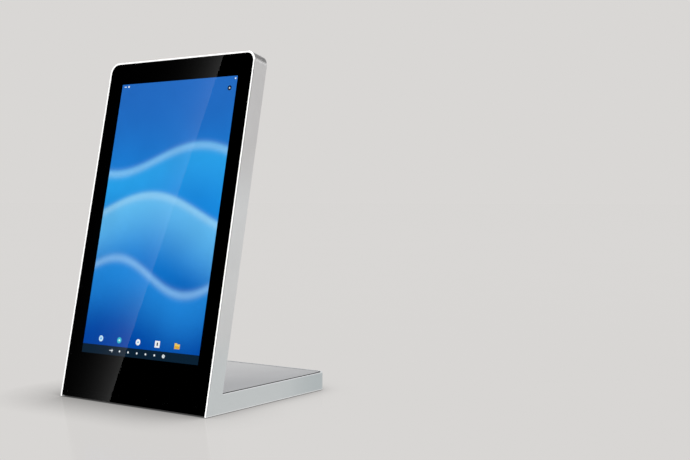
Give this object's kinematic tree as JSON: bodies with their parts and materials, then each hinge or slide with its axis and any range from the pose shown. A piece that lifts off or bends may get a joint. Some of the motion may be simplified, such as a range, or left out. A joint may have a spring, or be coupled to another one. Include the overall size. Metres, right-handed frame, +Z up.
{
  "type": "touchscreen kiosk",
  "caption": "Countertop touchscreen kiosk with a portrait display head leaning back from a flat metal foot, sockets and press keys in the foot's rear wall.",
  "frame": {"origin": "on the counter, under the middle of the object's box", "axes": "+X to the right of a person facing the glass, +Y to the rear, +Z up"},
  "size_m": [0.242, 0.234, 0.4223],
  "materials": {
    "anodised_aluminium": "satin bead-blasted, anodised",
    "cover_sheet": "satin brushed sheet",
    "clear_glass": "polished",
    "black_print": "printed black",
    "foam_tape": "matte",
    "sensor_film": "clear",
    "lit_screen": "lit picture",
    "white_film": "frosted",
    "acrylic": "clear",
    "led_strip": "matte",
    "sheet_steel": "zinc plated",
    "screw_steel": "nickel plated",
    "circuit_board": "solder mask",
    "chip_black": "moulded",
    "connector_white": "moulded",
    "flat_cable": "ribbon",
    "amber_film": "polyimide",
    "lead_sleeve": "sleeve",
    "red_sleeve": "sleeve",
    "rubber_black": "matte",
    "brass": "turned",
    "speaker_black": "moulded",
    "cone_paper": "pressed",
    "black_aluminium": "black anodised",
    "port_shell": "tin plated",
    "port_black": "moulded",
    "button_grey": "fine matte",
    "plunger_ivory": "moulded"
  },
  "bodies": {
    "kiosk": {"outer_frame": "anodised_aluminium", "cover_glass": "clear_glass", "border_print": "black_print", "glass_tape": "foam_tape", "touch_sensor": "sensor_film", "display_gasket": "foam_tape", "lcd_cell": "lit_screen", "optical_films": "white_film", "light_guide": "acrylic", "led_bar": "led_strip", "backlight_tray": "sheet_steel", "lcd_driver_board": "circuit_board", "display_plate": "sheet_steel", "display_plate_screws": "screw_steel", "back_cover": "cover_sheet", "back_cover_screws": "screw_steel", "base_top_cover": "cover_sheet", "top_cover_screws": "screw_steel", "base_bottom_plate": "sheet_steel", "bottom_plate_screws": "screw_steel", "rubber_feet": "rubber_black", "fixing_inserts": "brass", "corner_brackets": "sheet_steel", "bracket_screws": "screw_steel", "touch_controller": "circuit_board", "touch_flex": "amber_film", "touch_lead": "lead_sleeve", "display_cable": "flat_cable", "speaker_boxes": "speaker_black", "speaker_cones": "cone_paper", "speaker_leads": "red_sleeve", "wifi_antenna": "circuit_board", "antenna_lead": "lead_sleeve", "main_board": "circuit_board", "board_standoffs": "brass", "board_screws": "screw_steel", "board_chips": "chip_black", "heat_sink": "black_aluminium", "board_headers": "connector_white", "port_plate": "sheet_steel", "port_plate_screws": "screw_steel", "dc_jack": "port_black", "hdmi_port": "port_shell", "usb_ports": "port_shell", "ethernet_port": "port_shell", "button_bracket": "sheet_steel", "button_bracket_screws": "screw_steel", "button_board": "circuit_board", "tact_switches": "chip_black", "button_lead": "lead_sleeve"},
    "power_key": {"power_button": "button_grey", "power_plunger": "plunger_ivory"},
    "volume_up_key": {"volume_up_button": "button_grey", "volume_up_plunger": "plunger_ivory"},
    "volume_down_key": {"volume_down_button": "button_grey", "volume_down_plunger": "plunger_ivory"}
  },
  "joints": [
    {"name": "power_press", "type": "slide", "parent": "kiosk", "child": "power_key", "axis": [0, -1, 0], "range_m": [0, 0.0006], "stiffness_N_per_m": 2500, "springref_m": -0.0002},
    {"name": "volume_up_press", "type": "slide", "parent": "kiosk", "child": "volume_up_key", "axis": [0, -1, 0], "range_m": [0, 0.0006], "stiffness_N_per_m": 2500, "springref_m": -0.0002},
    {"name": "volume_down_press", "type": "slide", "parent": "kiosk", "child": "volume_down_key", "axis": [0, -1, 0], "range_m": [0, 0.0006], "stiffness_N_per_m": 2500, "springref_m": -0.0002}
  ]
}
